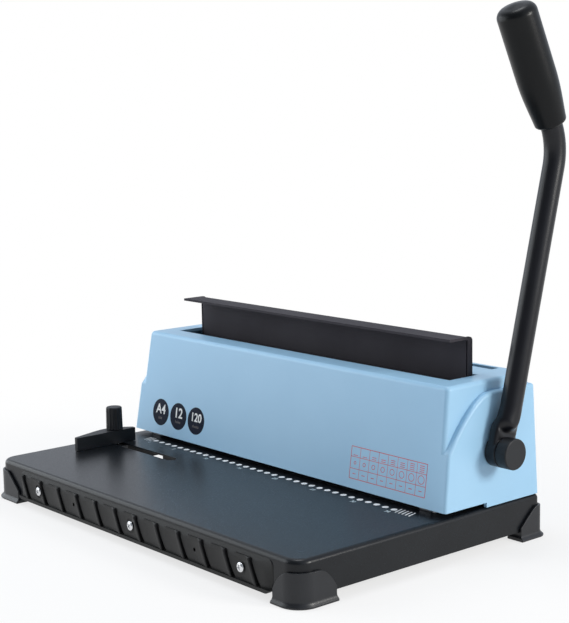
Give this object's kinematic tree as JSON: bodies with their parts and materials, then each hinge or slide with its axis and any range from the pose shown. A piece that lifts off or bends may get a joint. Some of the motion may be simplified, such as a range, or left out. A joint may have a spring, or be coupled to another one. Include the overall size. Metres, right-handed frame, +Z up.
{
  "type": "wire binding machine",
  "caption": "Desk machine that punches a row of round holes along a sheet and presses a wire comb closed, worked by one side lever.",
  "frame": {"origin": "centre of the bounding box in plan, on the plane that the feet stand on", "axes": "+X to the right along the row of punches, +Y to the back, +Z up; the lever is on the +X side and the paper goes in from -Y"},
  "size_m": [0.386, 0.2428, 0.3691],
  "materials": {
    "black_paint": "black powder coat, fine grain, satin",
    "black_plastic": "moulded, fine texture",
    "grip_plastic": "smooth soft-touch moulding",
    "blue_shell": "light blue moulded shell, soft gloss",
    "bright_steel": "bright plated",
    "plain_steel": "machined, oiled",
    "bronze": "sintered bronze"
  },
  "bodies": {
    "root": {"base_pan": "black_paint", "front_panel": "black_plastic", "panel_screw_1": "bright_steel", "panel_screw_2": "bright_steel", "panel_screw_3": "bright_steel", "foot_front_left": "black_plastic", "foot_front_right": "black_plastic", "foot_rear_right": "black_plastic", "foot_rear_left": "black_plastic", "housing_shell": "blue_shell", "rear_cover": "blue_shell", "cover_screw_1": "bright_steel", "cover_screw_2": "bright_steel", "cover_screw_3": "bright_steel", "cover_screw_4": "bright_steel", "side_plate_left": "plain_steel", "side_plate_right": "plain_steel", "shaft_bush_left": "bronze", "shaft_bush_right": "bronze", "front_tie": "plain_steel", "rear_tie": "plain_steel", "lower_jaw": "plain_steel", "die_plate": "plain_steel", "punch_guide": "plain_steel", "paper_stop": "plain_steel", "throat_spacer_left": "plain_steel", "throat_spacer_right": "plain_steel", "return_spring_left": "bright_steel", "return_spring_right": "bright_steel", "tray_rail_left": "plain_steel", "tray_rail_right": "plain_steel"},
    "lever": {"main_shaft": "bright_steel", "shaft_collar": "plain_steel", "punch_cam_left": "plain_steel", "punch_cam_right": "plain_steel", "press_crank_left": "plain_steel", "press_crank_right": "plain_steel", "lever_tube": "black_paint", "hub_cap": "black_plastic", "lever_grip": "grip_plastic"},
    "punch_carriage": {"punch_bar": "bright_steel", "punch_lifter_left": "plain_steel", "punch_lifter_right": "plain_steel"},
    "press_carriage": {"press_plate": "black_paint", "press_carrier_left": "plain_steel", "press_carrier_right": "plain_steel"},
    "paper_guide": {"edge_guide": "black_plastic", "guide_nut": "plain_steel"},
    "guide_clamp": {"guide_knob": "black_plastic"},
    "tray": {"chip_tray": "black_plastic"}
  },
  "joints": [
    {"name": "lever_pull", "type": "hinge", "parent": "root", "child": "lever", "pos_m": [-0.00778, 0.06245, 0.0692], "axis": [1, 0, 0], "range_deg": [0, 85], "stiffness_Nm_per_rad": 0.8, "springref_deg": -22.92},
    {"name": "punch_drop", "type": "slide", "parent": "root", "child": "punch_carriage", "axis": [0, 0, -1], "range_m": [0, 0.008], "deforming": ["return_spring_left", "return_spring_right"]},
    {"name": "press_drop", "type": "slide", "parent": "root", "child": "press_carriage", "axis": [0, 0, -1], "range_m": [0, 0.018]},
    {"name": "guide_slide", "type": "slide", "parent": "root", "child": "paper_guide", "axis": [1, 0, 0], "range_m": [-0.009, 0.079]},
    {"name": "knob_turn", "type": "hinge", "parent": "paper_guide", "child": "guide_clamp", "pos_m": [-0.16748, -0.02155, 0.045], "axis": [0, 0, 1], "range_deg": [0, 180]},
    {"name": "tray_pull", "type": "slide", "parent": "root", "child": "tray", "axis": [0, 1, 0], "range_m": [0, 0.085]}
  ],
  "couplings": [
    {"joint": "punch_drop", "follows": "lever_pull", "m_per_rad": 0.00539},
    {"joint": "press_drop", "follows": "lever_pull", "m_per_rad": 0.01213}
  ]
}
